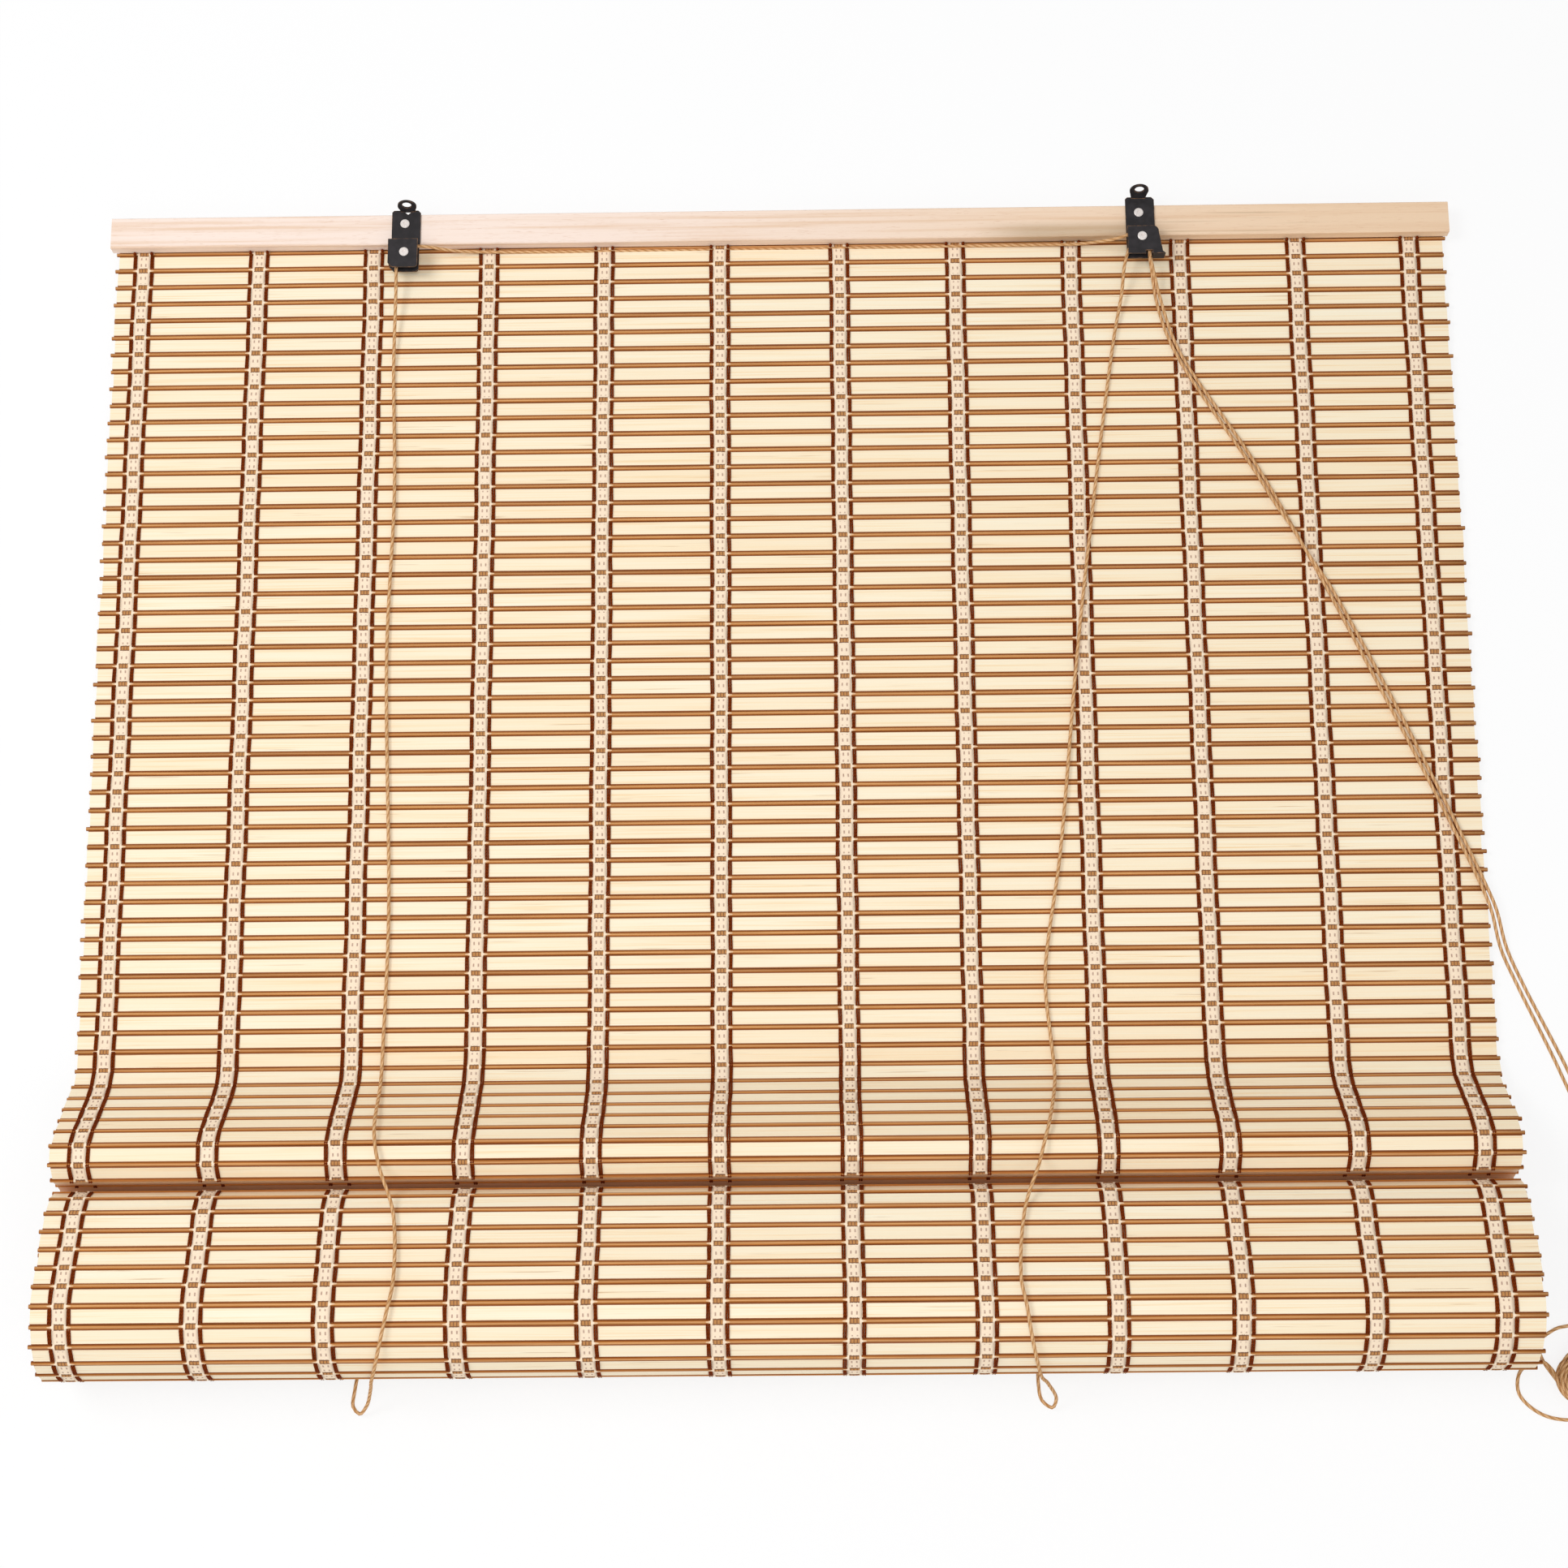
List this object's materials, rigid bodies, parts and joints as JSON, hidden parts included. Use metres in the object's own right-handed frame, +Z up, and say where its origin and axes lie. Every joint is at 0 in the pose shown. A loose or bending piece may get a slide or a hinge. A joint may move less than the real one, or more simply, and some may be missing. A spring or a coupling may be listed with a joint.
{
  "type": "bamboo roll up blind",
  "caption": "Roll up window blind woven from split bamboo slats and reeds, partly unrolled, with a wooden head rail, hanging brackets, pulley, cord lock and pull cords.",
  "frame": {"origin": "on the surface the blind lies on, under the middle of its bounding box without the pull cords", "axes": "+X along the head rail towards the cord lock, +Y along the mat towards the head rail, +Z up from the surface, out of the side with the brackets"},
  "size_m": [1.0692, 0.8951, 0.0941],
  "materials": {
    "rail_wood": "bare planed beech",
    "bamboo": "bare split bamboo and peeled reeds",
    "warp_tape": "woven cotton",
    "edge_cord": "twisted dyed cotton",
    "bracket_steel": "satin dark stove enamel",
    "wheel_plastic": "matte moulded",
    "rivet_steel": "bright zinc plated",
    "cord": "braided cord"
  },
  "bodies": {
    "blind": {"head_rail": "rail_wood", "mat_flat": "bamboo", "mat_roll": "bamboo", "woven_band_1": "warp_tape", "woven_band_2": "warp_tape", "woven_band_3": "warp_tape", "woven_band_4": "warp_tape", "woven_band_5": "warp_tape", "woven_band_6": "warp_tape", "woven_band_7": "warp_tape", "woven_band_8": "warp_tape", "woven_band_9": "warp_tape", "woven_band_10": "warp_tape", "woven_band_11": "warp_tape", "woven_band_12": "warp_tape", "warp_cords_1": "edge_cord", "warp_cords_2": "edge_cord", "warp_cords_3": "edge_cord", "warp_cords_4": "edge_cord", "warp_cords_5": "edge_cord", "warp_cords_6": "edge_cord", "warp_cords_7": "edge_cord", "warp_cords_8": "edge_cord", "warp_cords_9": "edge_cord", "warp_cords_10": "edge_cord", "warp_cords_11": "edge_cord", "warp_cords_12": "edge_cord", "pulley_bracket": "bracket_steel", "lock_bracket": "bracket_steel", "pulley_axle": "rivet_steel", "lock_axle": "rivet_steel", "pulley_screw": "rivet_steel", "lock_screw": "rivet_steel", "rail_staples": "rivet_steel", "cord_tacks": "rivet_steel", "left_cord_behind": "cord", "right_cord_behind": "cord", "left_lift_cord": "cord", "right_lift_cord": "cord", "transfer_cord": "cord", "left_pull_cord": "cord", "right_pull_cord": "cord", "cord_coil": "cord", "cord_knot": "cord"},
    "pulley_wheel": {"pulley_wheel": "wheel_plastic"},
    "lock_wheel": {"lock_wheel": "wheel_plastic"},
    "lock_roller": {"lock_roller": "rivet_steel"}
  },
  "joints": [
    {"name": "pulley_wheel_spin", "type": "hinge", "parent": "blind", "child": "pulley_wheel", "pos_m": [-0.2783, 0.4001, 0.02175], "axis": [0, 0, 1], "continuous": true},
    {"name": "lock_wheel_spin", "type": "hinge", "parent": "blind", "child": "lock_wheel", "pos_m": [0.2702, 0.4053, 0.02175], "axis": [0, 0, 1], "continuous": true},
    {"name": "lock_roller_slide", "type": "slide", "parent": "blind", "child": "lock_roller", "axis": [-0.1551, 0.9879, 0], "range_m": [0, 0.0025]}
  ],
  "couplings": [
    {"joint": "lock_wheel_spin", "follows": "pulley_wheel_spin", "ratio": 1}
  ]
}
